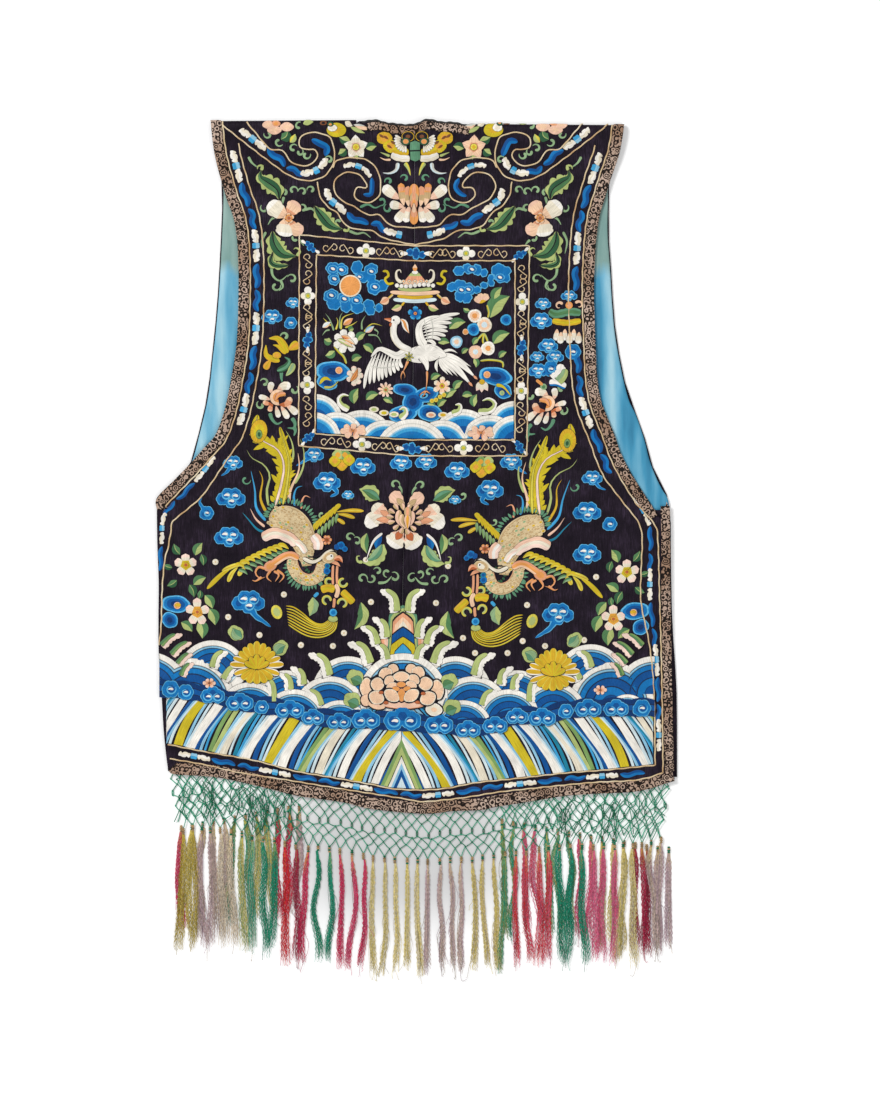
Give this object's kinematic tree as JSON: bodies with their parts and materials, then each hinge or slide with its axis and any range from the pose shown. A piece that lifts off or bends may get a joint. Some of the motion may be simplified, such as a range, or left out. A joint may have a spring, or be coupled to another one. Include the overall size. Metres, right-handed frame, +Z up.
{
  "type": "embroidered waistcoat",
  "caption": "Sleeveless embroidered court-style waistcoat laid flat with its back up, with ribbon-bound edges and a knotted net fringe with long silk tassels.",
  "frame": {"origin": "middle of the laid garment's outline, on the surface it lies on", "axes": "+Z up out of the surface, +Y from the fringe to the shoulders, +X to the right of the garment as laid with its back up"},
  "size_m": [0.65, 1.0723, 0.0105],
  "materials": {
    "satin": "satin",
    "lining": "satin",
    "brocade": "woven",
    "binding": "matte",
    "net": "twisted silk",
    "tassels": "twisted silk",
    "embroidery": "satin stitch",
    "couched_cord": "gold-wrapped cord"
  },
  "bodies": {
    "root": {"half_left": "satin", "half_right": "satin", "lining_left": "lining", "lining_right": "lining", "trim_armhole_left": "brocade", "trim_armhole_right": "brocade", "trim_side_right": "brocade", "trim_hem": "brocade", "trim_neck": "brocade", "binding_neck": "binding", "net_back": "net", "net_front_left": "net", "net_front_right": "net", "fringe_back": "tassels", "fringe_front_left": "tassels", "fringe_front_right": "tassels"}
  },
  "joints": []
}
